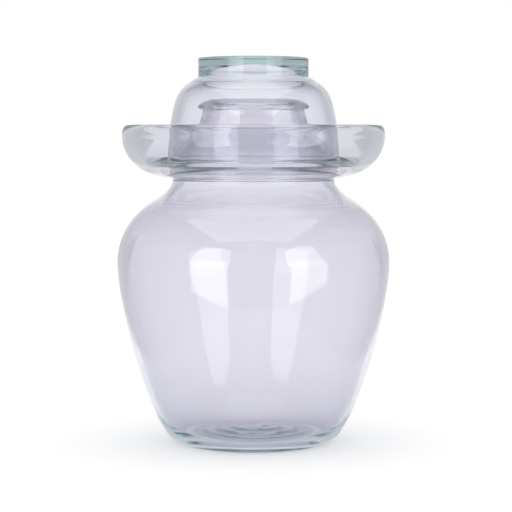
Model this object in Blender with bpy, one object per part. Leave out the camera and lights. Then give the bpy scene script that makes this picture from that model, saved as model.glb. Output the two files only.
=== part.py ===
"""A clear glass fermentation jar with a water seal.

The jar is blown glass: a pot-bellied body whose neck carries a flared moat. A domed lid
stands in the moat over the mouth, and water in the moat lets gas out but no air in.
Every piece is a body of revolution about the Z axis. The jar stands on Z = 0.
Lengths are in metres. An outline is a list of (radius, height) pairs.
"""

from math import cos, hypot, sin, tau

import bmesh
import bpy
from mathutils import Vector
from mathutils.geometry import interpolate_bezier

# Start from an empty scene
for leftover in list(bpy.data.objects):
    bpy.data.objects.remove(leftover)

# Body, from the table upwards
FOOT_RADIUS = 0.048  # outer edge of the flat ring that the jar stands on
FOOT_RING_WIDTH = 0.009  # width of that flat ring
PUSH_UP = 0.0035  # how far the middle of the base is pushed up off the table
HEEL_SPREAD = 0.005  # how far the heel curves out past the foot
HEEL_RISE = 0.004  # height of the heel's curve
BELLY_RADIUS = 0.0852  # widest part of the body
FLANK_HEIGHT = 0.108  # from the heel up to the widest part
SHOULDER_HEIGHT = 0.054  # from the widest part up to the waist under the moat
WAIST_RADIUS = 0.0503  # outside of the neck where the moat is fused to it
BODY_WALL = 0.003
HEEL_WALL = 0.0055  # the blown wall is thicker where it turns into the base
BASE_THICKNESS = 0.0055

# Neck and mouth, inside the moat
INNER_SHOULDER_HEIGHT = 0.0195  # the neck draws in over this height above the seat
NECK_STEP = 0.0183  # how far the neck draws in from the waist
NECK_LENGTH = 0.012
LIP_FLARE = 0.003  # how far the lip's thick bead stands out from the neck
LIP_ROLL = 0.0035  # how far the bead stands in from the inside of the neck
LIP_DEPTH = 0.007

# Moat
MOAT_FLOOR = 0.0042  # thickness of the glass under the water
SEAT_RISE = 0.0062  # height of the lid's seat above the floor of the channel
SEAT_LAND = 0.0026  # width of the flat seat around the neck
SEAT_SLOPE_WIDTH = 0.0045  # from the seat's edge out to the lowest line of the channel
MOAT_DEPTH = 0.0328  # from the waist up to the moat's rim
MOAT_WALL = 0.0058
CHANNEL_WIDTH = 0.0226  # clear water width outside the lid at the rim

# Lid
LID_PLAY = 0.0006  # clearance between the lid's rim and the neck
LID_WALL = 0.0028
LID_TAPER = 0.0018  # how far the lid's side leans in before the dome starts
LID_HEADROOM = 0.0194  # from the jar's lip up to the ceiling of the lid
CROWN_THICKNESS = 0.0027
CROWN_RISE = 0.0086  # the crown stands up this far inside the knob

# Knob: a thick disc of glass fused on the lid's crown, greenish seen edge on
KNOB_RADIUS = 0.0344
KNOB_HEIGHT = 0.012
KNOB_CORNER = 0.0012

# Clearances
FUSE_GAP = 0.0003  # between two pieces that are fused together on the real jar
REST_GAP = 0.0003  # between the lid's rim and its seat

# Shares of the sizes that the curves run between, out along and up along each curve
FLANK_LEAVE_SHARES = (0.53, 0.218)
FLANK_ARRIVE_SHARE = 0.21
SHOULDER_TURN_SHARES = (0.367, 0.733)  # where the shoulder turns from bulging to hollow
SHOULDER_LEAVE_SHARE = 0.103
SHOULDER_TURN_HANDLE_SHARES = (0.656, 0.298)
WAIST_TURN_HANDLE_SHARES = (0.112, 0.051)
WAIST_ARRIVE_SHARE = 0.175
INNER_SHOULDER_LEAVE_SHARE = 0.55
INNER_SHOULDER_ARRIVE_SHARE = 0.5
PUSH_UP_FLAT_SHARE = 0.5
MOAT_UNDER_SHARES = (0.93, 0.088)
MOAT_SIDE_SHARE = 0.217
MOAT_WIDEST_SHARE = 0.83
RIM_OUTER_SHARE = 0.72  # of the moat's wall, taken up by the rim's outer rounding
RIM_INNER_SHARE = 0.24
CHANNEL_SIDE_SHARE = 0.62
CHANNEL_FLOOR_SHARE = 0.62
SEAT_SLOPE_SHARE = 0.6
LID_RIM_SHARE = 0.36  # of the lid's wall, taken up by each rounding of its rim
SIDE_HEIGHT_SHARE = 0.45  # of the lid's height below the knob, before the dome starts
DOME_LEAVE_SHARES = (0.165, 0.541)
DOME_ARRIVE_SHARES = (0.78, 0.18)
CROWN_LEAVE_SHARES = (0.08, 0.72)
CROWN_FLAT_SHARE = 0.78
LIP_CREST_SHARE = 0.24  # of the bead's width, from the mouth out to its highest line
ROUND_SHARE = 0.552  # handle of a Bezier curve that draws a quarter circle

# Mesh
SEGMENTS = 56
FLANK_STEPS = 10
SHOULDER_STEPS = 6
NECK_STEPS = 6
MOAT_STEPS = 8
DOME_STEPS = 7
CROWN_STEPS = 4
ROUND_STEPS = 3
FLOOR_STEPS = 3
SHARP_ANGLE = 0.6

# Heights above the table, each stacked on the one below
HEEL_Z = HEEL_RISE
BELLY_Z = HEEL_Z + FLANK_HEIGHT
WAIST_Z = BELLY_Z + SHOULDER_HEIGHT
CHANNEL_Z = WAIST_Z + MOAT_FLOOR
SEAT_Z = CHANNEL_Z + SEAT_RISE
NECK_Z = SEAT_Z + INNER_SHOULDER_HEIGHT
LIP_Z = NECK_Z + NECK_LENGTH
MOUTH_Z = LIP_Z + LIP_DEPTH
RIM_Z = WAIST_Z + MOAT_DEPTH
LID_Z = SEAT_Z + REST_GAP

# Heights above the lid's rim, which is where the lid's own frame is
CEILING_Z = MOUTH_Z + LID_HEADROOM - LID_Z
CROWN_Z = CEILING_Z + CROWN_THICKNESS
KNOB_Z = CROWN_Z - CROWN_RISE
SIDE_Z = KNOB_Z * SIDE_HEIGHT_SHARE

# Radii that follow from what they fit round
NECK_RADIUS = WAIST_RADIUS - NECK_STEP
LIP_RADIUS = NECK_RADIUS + LIP_FLARE
NECK_BORE = NECK_RADIUS - BODY_WALL
MOUTH_RADIUS = NECK_BORE - LIP_ROLL
COLLAR_BORE = WAIST_RADIUS + FUSE_GAP
SEAT_EDGE = COLLAR_BORE + SEAT_LAND
LID_BORE = WAIST_RADIUS + LID_PLAY
LID_RADIUS = LID_BORE + LID_WALL
MOAT_BORE = LID_RADIUS + CHANNEL_WIDTH
MOAT_RADIUS = MOAT_BORE + MOAT_WALL

# Rounded edges that follow from the wall that they round
LID_RIM_ROUND = LID_WALL * LID_RIM_SHARE
RIM_OUTER_ROUND = MOAT_WALL * RIM_OUTER_SHARE
RIM_INNER_ROUND = MOAT_WALL * RIM_INNER_SHARE


def bend(start, leave, arrive, end, steps):
    """Points along a smooth curve, without its start, so that curves can be chained."""
    knots = [Vector(point) for point in (start, leave, arrive, end)]
    return [tuple(point) for point in interpolate_bezier(*knots, steps + 1)[1:-1]] + [end]


def quarter(start, corner, end, steps=ROUND_STEPS):
    """A rounded corner from start to end, for an edge that would meet at the corner."""
    leave = [a + (b - a) * ROUND_SHARE for a, b in zip(start, corner)]
    arrive = [a + (b - a) * ROUND_SHARE for a, b in zip(end, corner)]
    return bend(start, leave, arrive, end, steps)


def inset(outline, walls):
    """The outline moved to its left by a wall for each point, square to the outline."""
    moved = []
    for index, (radius, height) in enumerate(outline):
        before = outline[max(index - 1, 0)]
        after = outline[min(index + 1, len(outline) - 1)]
        along_r, along_z = after[0] - before[0], after[1] - before[1]
        length = hypot(along_r, along_z)
        wall = walls[index]
        moved.append((radius - along_z / length * wall, height + along_r / length * wall))
    return moved


def fade(first, last, count):
    """Evenly spaced values from first to last."""
    return [first + (last - first) * step / (count - 1) for step in range(count)]


def flank_outline():
    """From the top of the heel up to the widest part of the belly."""
    foot = FOOT_RADIUS + HEEL_SPREAD
    spread = BELLY_RADIUS - foot
    leave_out, leave_up = FLANK_LEAVE_SHARES
    leave = (foot + spread * leave_out, HEEL_Z + FLANK_HEIGHT * leave_up)
    arrive = (BELLY_RADIUS, BELLY_Z - FLANK_HEIGHT * FLANK_ARRIVE_SHARE)
    return [(foot, HEEL_Z)] + bend((foot, HEEL_Z), leave, arrive, (BELLY_RADIUS, BELLY_Z), FLANK_STEPS)


def shoulder_outline():
    """From the widest part over the shoulder into the waist, as two curves."""
    width = BELLY_RADIUS - WAIST_RADIUS
    turn_out, turn_up = SHOULDER_TURN_SHARES
    turn = (WAIST_RADIUS + width * turn_out, BELLY_Z + SHOULDER_HEIGHT * turn_up)
    leave = (BELLY_RADIUS, BELLY_Z + SHOULDER_HEIGHT * SHOULDER_LEAVE_SHARE)
    out, down = SHOULDER_TURN_HANDLE_SHARES
    arrive = (turn[0] + width * out, turn[1] - SHOULDER_HEIGHT * down)
    points = bend((BELLY_RADIUS, BELLY_Z), leave, arrive, turn, SHOULDER_STEPS)
    back, up = WAIST_TURN_HANDLE_SHARES
    leave = (turn[0] - width * back, turn[1] + SHOULDER_HEIGHT * up)
    arrive = (WAIST_RADIUS, WAIST_Z - SHOULDER_HEIGHT * WAIST_ARRIVE_SHARE)
    return points + bend(turn, leave, arrive, (WAIST_RADIUS, WAIST_Z), SHOULDER_STEPS)


def neck_outline():
    """From the waist up past the moat's seat, then in to the straight neck."""
    leave = (WAIST_RADIUS, SEAT_Z + INNER_SHOULDER_HEIGHT * INNER_SHOULDER_LEAVE_SHARE)
    arrive = (NECK_RADIUS, NECK_Z - INNER_SHOULDER_HEIGHT * INNER_SHOULDER_ARRIVE_SHARE)
    points = bend((WAIST_RADIUS, SEAT_Z), leave, arrive, (NECK_RADIUS, NECK_Z), NECK_STEPS)
    return [(WAIST_RADIUS, SEAT_Z)] + points + [(NECK_RADIUS, LIP_Z)]


def lip_outline():
    """The bead of the lip, out and over into the mouth, and back to the inside of the neck."""
    half = LIP_DEPTH / 2
    crest = MOUTH_RADIUS + (LIP_RADIUS - MOUTH_RADIUS) * LIP_CREST_SHARE
    points = quarter((NECK_RADIUS, LIP_Z), (LIP_RADIUS, LIP_Z), (LIP_RADIUS, LIP_Z + half))
    points += quarter(points[-1], (LIP_RADIUS, MOUTH_Z), (crest, MOUTH_Z))
    points += quarter((crest, MOUTH_Z), (MOUTH_RADIUS, MOUTH_Z), (MOUTH_RADIUS, LIP_Z + half))
    end = (NECK_BORE, LIP_Z - half)
    return points + bend(points[-1], (MOUTH_RADIUS, LIP_Z), (NECK_BORE, LIP_Z), end, FLOOR_STEPS)


def base_outline():
    """The pushed-up base, the flat foot ring and the heel, from the axis outwards."""
    ring = FOOT_RADIUS - FOOT_RING_WIDTH
    flat = ring * PUSH_UP_FLAT_SHARE
    points = [(0, PUSH_UP)] + bend((0, PUSH_UP), (flat, PUSH_UP), (flat, 0), (ring, 0), FLOOR_STEPS)
    heel = (FOOT_RADIUS + HEEL_SPREAD, HEEL_Z)
    corner = (FOOT_RADIUS + HEEL_SPREAD / 2, 0)
    return points + [(FOOT_RADIUS, 0)] + quarter((FOOT_RADIUS, 0), corner, heel)[:-1]


def floor_outline(edge, corner):
    """The inside of the base, rounded off the flank's inner edge, then in to the axis."""
    ring = FOOT_RADIUS - FOOT_RING_WIDTH
    points = quarter(edge, corner, (ring, BASE_THICKNESS), FLOOR_STEPS)
    middle = ring * PUSH_UP_FLAT_SHARE
    top = BASE_THICKNESS + PUSH_UP
    return points + bend(points[-1], (middle, BASE_THICKNESS), (middle, top), (0, top), FLOOR_STEPS)


def jar_body_outline():
    """Up the outside of the body and down its inside, from axis to axis."""
    flank = flank_outline()
    rest = shoulder_outline() + neck_outline()
    walls = fade(HEEL_WALL, BODY_WALL, len(flank)) + [BODY_WALL] * len(rest)
    inside = inset(flank + rest, walls)[::-1]
    floor = floor_outline(inside[-2], inside[-1])
    return base_outline() + flank + rest + lip_outline() + inside[1:-1] + floor


def channel_outline():
    """The inside of the moat, from its rim down to the floor and up to the lid's seat."""
    depth = RIM_Z - RIM_INNER_ROUND - CHANNEL_Z
    low = SEAT_EDGE + SEAT_SLOPE_WIDTH
    width = MOAT_BORE - low
    top = (MOAT_BORE, RIM_Z - RIM_INNER_ROUND)
    side = (MOAT_BORE, top[1] - depth * CHANNEL_SIDE_SHARE)
    floor = (low + width * CHANNEL_FLOOR_SHARE, CHANNEL_Z)
    points = bend(top, side, floor, (low, CHANNEL_Z), MOAT_STEPS)
    foot = (low - SEAT_SLOPE_WIDTH * SEAT_SLOPE_SHARE, CHANNEL_Z)
    brow = (SEAT_EDGE + SEAT_SLOPE_WIDTH * SEAT_SLOPE_SHARE, SEAT_Z)
    return points + bend((low, CHANNEL_Z), foot, brow, (SEAT_EDGE, SEAT_Z), FLOOR_STEPS + 1)


def moat_bowl_outline():
    """Out under the moat, over its rim, down into the channel and back to the neck."""
    widest = (MOAT_RADIUS, WAIST_Z + MOAT_DEPTH * MOAT_WIDEST_SHARE)
    width = MOAT_RADIUS - COLLAR_BORE
    depth = widest[1] - WAIST_Z
    out, up = MOAT_UNDER_SHARES
    leave = (COLLAR_BORE + width * out, WAIST_Z + depth * up)
    arrive = (MOAT_RADIUS, widest[1] - depth * MOAT_SIDE_SHARE)
    points = [(COLLAR_BORE, WAIST_Z)]
    points += bend(points[0], leave, arrive, widest, MOAT_STEPS)
    outer_top = (MOAT_RADIUS - RIM_OUTER_ROUND, RIM_Z)
    inner_top = (MOAT_BORE + RIM_INNER_ROUND, RIM_Z)
    points += quarter(widest, (MOAT_RADIUS, RIM_Z), outer_top) + [inner_top]
    points += quarter(inner_top, (MOAT_BORE, RIM_Z), (MOAT_BORE, RIM_Z - RIM_INNER_ROUND))
    return points + channel_outline() + [(COLLAR_BORE, SEAT_Z)]


def crown_outline():
    """The top of the lid inside the knob, from the knob's edge to the axis."""
    out, up = CROWN_LEAVE_SHARES
    leave = (KNOB_RADIUS * (1 - out), KNOB_Z + CROWN_RISE * up)
    arrive = (KNOB_RADIUS * CROWN_FLAT_SHARE, CROWN_Z)
    return bend((KNOB_RADIUS, KNOB_Z), leave, arrive, (0, CROWN_Z), CROWN_STEPS)


def dome_outline():
    """The outside of the lid, from the top of its rim to the knob's edge."""
    side = LID_RADIUS - LID_TAPER
    width = side - KNOB_RADIUS
    height = KNOB_Z - SIDE_Z
    back, up = DOME_LEAVE_SHARES
    leave = (side - width * back, SIDE_Z + height * up)
    out, down = DOME_ARRIVE_SHARES
    arrive = (KNOB_RADIUS + width * out, KNOB_Z - height * down)
    points = [(LID_RADIUS, LID_RIM_ROUND), (side, SIDE_Z)]
    return points + bend(points[-1], leave, arrive, (KNOB_RADIUS, KNOB_Z), DOME_STEPS)


def lid_rim_outline():
    """The lid's rounded rim, from its inside to its outside."""
    inner = (LID_BORE + LID_RIM_ROUND, 0)
    outer = (LID_RADIUS - LID_RIM_ROUND, 0)
    points = quarter((LID_BORE, LID_RIM_ROUND), (LID_BORE, 0), inner)
    return points + [outer] + quarter(outer, (LID_RADIUS, 0), (LID_RADIUS, LID_RIM_ROUND))[:-1]


def lid_dome_outline():
    """Down the inside of the lid from its ceiling, round the rim and up to the crown."""
    outside = dome_outline() + crown_outline()
    walls = fade(LID_WALL, CROWN_THICKNESS, len(outside))
    inside = inset(outside, walls)[1:-1]
    return [(0, CEILING_Z)] + inside[::-1] + [(LID_BORE, LID_RIM_ROUND)] + lid_rim_outline() + outside


def lid_knob_outline():
    """Up over the crown's top, out and round the disc, in the knob's own frame."""
    top = (0, KNOB_HEIGHT)
    edge = (KNOB_RADIUS - KNOB_CORNER, KNOB_HEIGHT)
    side = (KNOB_RADIUS, KNOB_HEIGHT - KNOB_CORNER)
    seat = [(radius, height - KNOB_Z + FUSE_GAP) for radius, height in crown_outline()]
    outer_seat = (KNOB_RADIUS, FUSE_GAP)
    corner = (KNOB_RADIUS, KNOB_HEIGHT)
    return seat[::-1] + [outer_seat, side] + quarter(side, corner, edge) + [top]


def turned(name, outline, material, closed=False):
    """A solid turned about Z from an outline. Points at radius zero are its poles."""
    mesh = bpy.data.meshes.new(name)
    shape = bmesh.new()
    rings = [ring_of(shape, radius, height) for radius, height in outline]
    pairs = list(zip(rings, rings[1:]))
    if closed:
        pairs.append((rings[-1], rings[0]))
    for lower, upper in pairs:
        skin(shape, lower, upper)
    bmesh.ops.recalc_face_normals(shape, faces=shape.faces)
    shape.to_mesh(mesh)
    shape.free()
    mesh.shade_smooth()
    mesh.set_sharp_from_angle(angle=SHARP_ANGLE)
    mesh.materials.append(material)
    piece = bpy.data.objects.new(name, mesh)
    bpy.context.collection.objects.link(piece)
    return piece


def ring_of(shape, radius, height):
    """The vertices of one ring, or the single vertex of a pole."""
    if radius == 0:
        return [shape.verts.new((0, 0, height))]
    turns = [tau * step / SEGMENTS for step in range(SEGMENTS)]
    return [shape.verts.new((radius * cos(turn), radius * sin(turn), height)) for turn in turns]


def skin(shape, lower, upper):
    """Faces between two rings, or between a ring and a pole."""
    for step in range(SEGMENTS):
        after = (step + 1) % SEGMENTS
        corners = [lower[step % len(lower)], lower[after % len(lower)]]
        corners += [upper[after % len(upper)], upper[step % len(upper)]]
        shape.faces.new(list(dict.fromkeys(corners)))


def glass(name, color, roughness):
    """Clear glass in one tint."""
    material = bpy.data.materials.new(name)
    material.use_nodes = True
    shader = material.node_tree.nodes["Principled BSDF"]
    shader.inputs["Base Color"].default_value = (*color, 1)
    shader.inputs["Roughness"].default_value = roughness
    shader.inputs["Metallic"].default_value = 0
    shader.inputs["Transmission Weight"].default_value = 1
    shader.inputs["IOR"].default_value = 1.5
    return material


def blown_glass():
    """The body's thin wall, clear with a faint lavender cast."""
    return glass("blown_glass", (0.86, 0.85, 0.9), 0.02)


def moat_glass():
    """The moat's thicker wall, a little greyer."""
    return glass("moat_glass", (0.8, 0.8, 0.86), 0.02)


def lid_glass():
    """The lid's thin dome."""
    return glass("lid_glass", (0.82, 0.83, 0.88), 0.02)


def knob_glass():
    """The knob's thick disc, which shows the glass's own green."""
    return glass("knob_glass", (0.6, 0.72, 0.72), 0.03)


def build():
    """Place the jar on the table and the lid on its seat."""
    turned("jar_body", jar_body_outline(), blown_glass())
    turned("moat_bowl", moat_bowl_outline(), moat_glass(), closed=True)
    lid = bpy.data.objects.new("lid", None)
    lid.location.z = LID_Z
    bpy.context.collection.objects.link(lid)
    dome = turned("lid_dome", lid_dome_outline(), lid_glass())
    dome.parent = lid
    knob = turned("lid_knob", lid_knob_outline(), knob_glass())
    knob.location.z = KNOB_Z
    knob.parent = lid


build()
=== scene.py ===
# %% [markdown]
# A glass fermentation jar. The real one is two loose things: a pot-bellied jar with a
# moat round its neck, and a lid that stands in the moat with a thick disc as its knob.
# This lesson turns each of them as one closed wall of clear glass, gives it the faint
# lavender and green of household glass, and lights it in a plain white studio. The
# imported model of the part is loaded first, as a frame that says where everything sits.

# %% Load the frame
from math import cos, exp, hypot, pi, radians, sin, tan, tau

import bpy
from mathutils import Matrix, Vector, noise
from mathutils.geometry import interpolate_bezier


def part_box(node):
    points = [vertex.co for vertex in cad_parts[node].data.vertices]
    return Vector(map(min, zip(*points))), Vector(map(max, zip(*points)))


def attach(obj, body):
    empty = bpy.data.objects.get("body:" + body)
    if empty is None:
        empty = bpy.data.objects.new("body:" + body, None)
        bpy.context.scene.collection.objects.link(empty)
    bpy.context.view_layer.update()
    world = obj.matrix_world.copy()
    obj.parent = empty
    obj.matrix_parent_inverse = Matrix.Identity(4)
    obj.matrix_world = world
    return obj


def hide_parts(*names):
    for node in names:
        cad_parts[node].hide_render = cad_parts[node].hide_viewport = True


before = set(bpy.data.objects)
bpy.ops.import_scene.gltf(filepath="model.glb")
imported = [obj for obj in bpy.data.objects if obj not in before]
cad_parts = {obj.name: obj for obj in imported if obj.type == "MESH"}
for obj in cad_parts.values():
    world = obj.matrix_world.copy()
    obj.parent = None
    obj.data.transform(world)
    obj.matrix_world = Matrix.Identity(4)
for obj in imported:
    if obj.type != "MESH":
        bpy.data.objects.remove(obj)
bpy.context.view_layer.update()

# %% [markdown]
# Every main size comes from the frame, so the glass lands where the solids are. The box
# of a turned piece tells its widest radius and its lowest and highest point, and that
# is enough to hang the curves on. The same sizes could be typed here again, but then a
# change of the part would leave the glass behind.

# %% Read the main sizes from the frame
body_low, body_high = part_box("jar_body")
moat_low, moat_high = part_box("moat_bowl")
dome_low, dome_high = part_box("lid_dome")
knob_low, knob_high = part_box("lid_knob")

BELLY_RADIUS = body_high.x
MOUTH_Z = body_high.z
WAIST_Z = moat_low.z
RIM_Z = moat_high.z
MOAT_RADIUS = moat_high.x
LID_Z = dome_low.z
LID_RADIUS = dome_high.x
KNOB_RADIUS = knob_high.x
KNOB_TOP_Z = knob_high.z
KNOB_Z = knob_low.z
print("belly", round(BELLY_RADIUS, 4), "mouth", round(MOUTH_Z, 4), "rim", round(RIM_Z, 4))

# %% [markdown]
# A turned shape is a list of points, each a radius and a height, that runs along its
# section. It could be a few points with straight lines between them, but glass bends
# light at every kink, so they would show as facets. So each stretch is a Bezier curve,
# read at many points. Its two handles are mostly given as shares of the width and the
# height of the stretch, counted from one corner of it.

# %% Curves for an outline
CURVE_STEPS = 24


def bend(start, leave, arrive, end, steps=CURVE_STEPS):
    """Points along a smooth curve, without its start, so that curves can be chained."""
    knots = [Vector(point) for point in (start, leave, arrive, end)]
    return [tuple(point) for point in interpolate_bezier(*knots, steps + 1)[1:-1]] + [end]


def within(corner, size, shares):
    """The point at shares of a width and a height, counted from a corner."""
    return tuple(place + length * share for place, length, share in zip(corner, size, shares))


def part_way(start, end, share):
    """The point at a share of the way from start to end."""
    return tuple(a + (b - a) * share for a, b in zip(start, end))


def gap(start, end):
    """The straight distance between two points of an outline."""
    return hypot(end[0] - start[0], end[1] - start[1])


def onward(before, point, length):
    """The place a length further on from a point, in the line from the one before it."""
    mirrored = tuple(2 * b - a for a, b in zip(before, point))
    return part_way(point, mirrored, length / gap(before, point))


print("points on a curve", CURVE_STEPS)

# %% [markdown]
# A corner of glass is never sharp, because the last step in the making is a flame that
# melts it round. A bevel of the finished mesh would do it too, but it cuts all corners
# alike and spoils the even rings, so each corner is a short curve of its own size. A
# long flat next to a rounded corner would shade as if it were bent, so it gets a point
# close to each of its ends, which holds it flat.

# %% Rounded corners and flats
ROUND_SHARE = 0.552
CORNER_STEPS = 8
FLAT_LENGTH = 0.003
FLAT_HOLD = 0.0001


def rounded(start, corner, end, steps=CORNER_STEPS):
    """A rounded corner from start to end, for an edge that would meet at the corner."""
    leave = part_way(start, corner, ROUND_SHARE)
    arrive = part_way(end, corner, ROUND_SHARE)
    return bend(start, leave, arrive, end, steps)


def held(outline):
    """The outline with a point close to each end of its long flats."""
    points = [outline[0]]
    for start, end in zip(outline, outline[1:]):
        length = gap(start, end)
        if length > FLAT_LENGTH:
            near_share = FLAT_HOLD / length
            points += [part_way(start, end, near_share), part_way(start, end, 1 - near_share)]
        points.append(end)
    return points


print("a held flat", len(held([(0, 0), (2 * FLAT_LENGTH, 0)])), "points")

# %% [markdown]
# The body starts under the table side of the base. Blown jars have the middle of the
# base pushed up, so that they stand on a ring and don't rock. Round the ring runs the
# heel. It could be left as a plain edge, since it is small, but seen through the glass
# of the base it draws the dark line that the jar stands on.

# %% Base and heel
FOOT_RADIUS = 0.0442
FOOT_RING = 0.039
PUSH_UP = 0.0018
HEEL_RADIUS = 0.0543
HEEL_Z = 0.0057


def base_outline():
    """The underside, from the axis out to the heel."""
    middle = FOOT_RING / 2
    points = [(0, PUSH_UP)] + bend((0, PUSH_UP), (middle, PUSH_UP), (middle, 0), (FOOT_RING, 0))
    corner = ((FOOT_RADIUS + HEEL_RADIUS) / 2, 0)
    return points + [(FOOT_RADIUS, 0)] + rounded((FOOT_RADIUS, 0), corner, (HEEL_RADIUS, HEEL_Z))[:-1]


print("base", len(base_outline()), "points")

# %% [markdown]
# From the heel the flank swells out to the belly, the widest part of the jar. It could
# be pieced together from arcs, but the light would break where they meet, so one long
# curve does it all.

# %% Flank
BELLY_Z = 0.112
FLANK_LEAVE_SHARES = (0.53, 0.218)
FLANK_ARRIVE_SHARES = (1, 0.79)


def flank_outline():
    """From the heel up to the widest part of the belly."""
    start = (HEEL_RADIUS, HEEL_Z)
    size = (BELLY_RADIUS - HEEL_RADIUS, BELLY_Z - HEEL_Z)
    leave = within(start, size, FLANK_LEAVE_SHARES)
    arrive = within(start, size, FLANK_ARRIVE_SHARES)
    return [start] + bend(start, leave, arrive, (BELLY_RADIUS, BELLY_Z), 2 * CURVE_STEPS)


print("flank", len(flank_outline()), "points")

# %% [markdown]
# The shoulder bulges first and then turns hollow where it runs into the waist. A single
# curve can turn once too, but it can't be round enough on both sides of the turn. So
# these are two, and their handles lie in one line where they meet.

# %% Shoulder
WAIST_RADIUS = 0.0503
SHOULDER_LEAVE_SHARES = (1, 0.103)
TURN_SHARES = (0.3, 0.76)
TURN_ARRIVE_SHARES = (0.695, -0.259)
TURN_LEAVE_SHARES = (-0.223, 0.083)
WAIST_ARRIVE_SHARES = (0, 0.926)


def shoulder_outline():
    """From the belly over the shoulder into the waist."""
    corner = (WAIST_RADIUS, BELLY_Z)
    size = (BELLY_RADIUS - WAIST_RADIUS, WAIST_Z - BELLY_Z)
    turn = within(corner, size, TURN_SHARES)
    leave = within(corner, size, SHOULDER_LEAVE_SHARES)
    points = bend((BELLY_RADIUS, BELLY_Z), leave, within(turn, size, TURN_ARRIVE_SHARES), turn)
    arrive = within(corner, size, WAIST_ARRIVE_SHARES)
    return points + bend(turn, within(turn, size, TURN_LEAVE_SHARES), arrive, (WAIST_RADIUS, WAIST_Z))


print("shoulder", len(shoulder_outline()), "points")

# %% [markdown]
# Above the waist the same wall goes on inside the moat and draws in to the neck. It
# starts at the seat, the ledge on which the lid stands, a hair under the lid's rim. A
# plain cone would be nearly right, but it would meet the seat and the lip in a kink.

# %% Neck
SEAT_GAP = 0.0003
SEAT_Z = LID_Z - SEAT_GAP
NECK_RADIUS = 0.0318
LIP_DEPTH = 0.0066
LIP_Z = MOUTH_Z - LIP_DEPTH
NECK_LEAVE_SHARES = (1, 0.36)
NECK_ARRIVE_SHARES = (0.1, 0.45)


def neck_outline():
    """From the seat in the moat up and in to the neck, as far as the lip."""
    corner = (NECK_RADIUS, SEAT_Z)
    size = (WAIST_RADIUS - NECK_RADIUS, LIP_Z - SEAT_Z)
    leave = within(corner, size, NECK_LEAVE_SHARES)
    arrive = within(corner, size, NECK_ARRIVE_SHARES)
    points = bend((WAIST_RADIUS, SEAT_Z), leave, arrive, (NECK_RADIUS, LIP_Z), 2 * CURVE_STEPS)
    return [(WAIST_RADIUS, SEAT_Z)] + points


print("neck", len(neck_outline()), "points")

# %% [markdown]
# The lip is a rounded bead. It was melted smooth after the neck was cut, so it has no
# edge at all, and it bends light strongly: that makes the dark ends seen through the
# lid. A torus would be the quick way, but the bead is flatter below than above, so it
# is drawn in three stretches: out under it, over its crest, and into the mouth.

# %% Lip, from below to its outer edge
LIP_RADIUS = 0.0352
LIP_EDGE_RISE = 0.0021
LIP_EDGE_Z = LIP_Z + LIP_EDGE_RISE
LIP_EDGE_ROUND = 0.0003
LIP_EDGE_INSET = 0.0004
LIP_FLARE_RISE = 0.0002
LIP_FLARE_DROP = 0.002
LIP_LEAVE_SHARE = 0.1
LIP_ARRIVE_SHARE = 0.64


def lip_edge():
    """Out from the neck under the bead, and round its outer edge."""
    width = LIP_RADIUS - NECK_RADIUS
    under = (LIP_RADIUS - LIP_EDGE_ROUND, LIP_EDGE_Z - LIP_EDGE_ROUND)
    over = (LIP_RADIUS - LIP_EDGE_INSET, LIP_EDGE_Z + LIP_EDGE_ROUND)
    leave = (NECK_RADIUS + width * LIP_LEAVE_SHARE, LIP_Z + LIP_FLARE_RISE)
    arrive = (NECK_RADIUS + width * LIP_ARRIVE_SHARE, LIP_EDGE_Z - LIP_FLARE_DROP)
    return bend((NECK_RADIUS, LIP_Z), leave, arrive, under) + rounded(under, (LIP_RADIUS, LIP_EDGE_Z), over)


print("lip's edge", len(lip_edge()), "points")

# %% Lip, over its crest and into the mouth
LIP_CREST = 0.0277
MOUTH_RADIUS = 0.0255
MOUTH_ROUND = 0.0021
BEAD_LEAVE_SHARES = (0.86, 0.46)
BEAD_ARRIVE_SHARES = (0.275, 1)
MOUTH_LEAVE_SHARES = (0.53, 1)
MOUTH_ARRIVE_SHARES = (0, 0.38)


def lip_outline():
    """The whole lip: out from the neck, over the bead and into the mouth."""
    points = lip_edge()
    over, crest, inner = points[-1], (LIP_CREST, MOUTH_Z), (MOUTH_RADIUS, MOUTH_Z - MOUTH_ROUND)
    corner = (LIP_CREST, over[1])
    size = (over[0] - LIP_CREST, MOUTH_Z - over[1])
    leave = within(corner, size, BEAD_LEAVE_SHARES)
    points += bend(over, leave, within(corner, size, BEAD_ARRIVE_SHARES), crest)
    size = (LIP_CREST - MOUTH_RADIUS, MOUTH_ROUND)
    leave = within(inner, size, MOUTH_LEAVE_SHARES)
    return points + bend(crest, leave, within(inner, size, MOUTH_ARRIVE_SHARES), inner)


print("lip", len(lip_outline()), "points")

# %% [markdown]
# The moat is a second gather of glass, blown as a bowl and fused round the waist while
# both were soft. It could be a mesh of its own, pushed into the body, but fused glass
# has no surface inside, and a hidden one would show as a mirror. So the moat and the
# body are one wall here. The corner where they meet is a small fillet, as melted glass
# makes.

# %% Outside of the moat
MOAT_WALL = 0.0058
MOAT_BORE = MOAT_RADIUS - MOAT_WALL
UNDER_FILLET = 0.0016
WIDEST_SHARE = 0.83
BOWL_LEAVE_SHARES = (0.93, 0.088)
BOWL_ARRIVE_SHARES = (1, 0.783)
RIM_SHARES = (0.526, 0.255)


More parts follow.
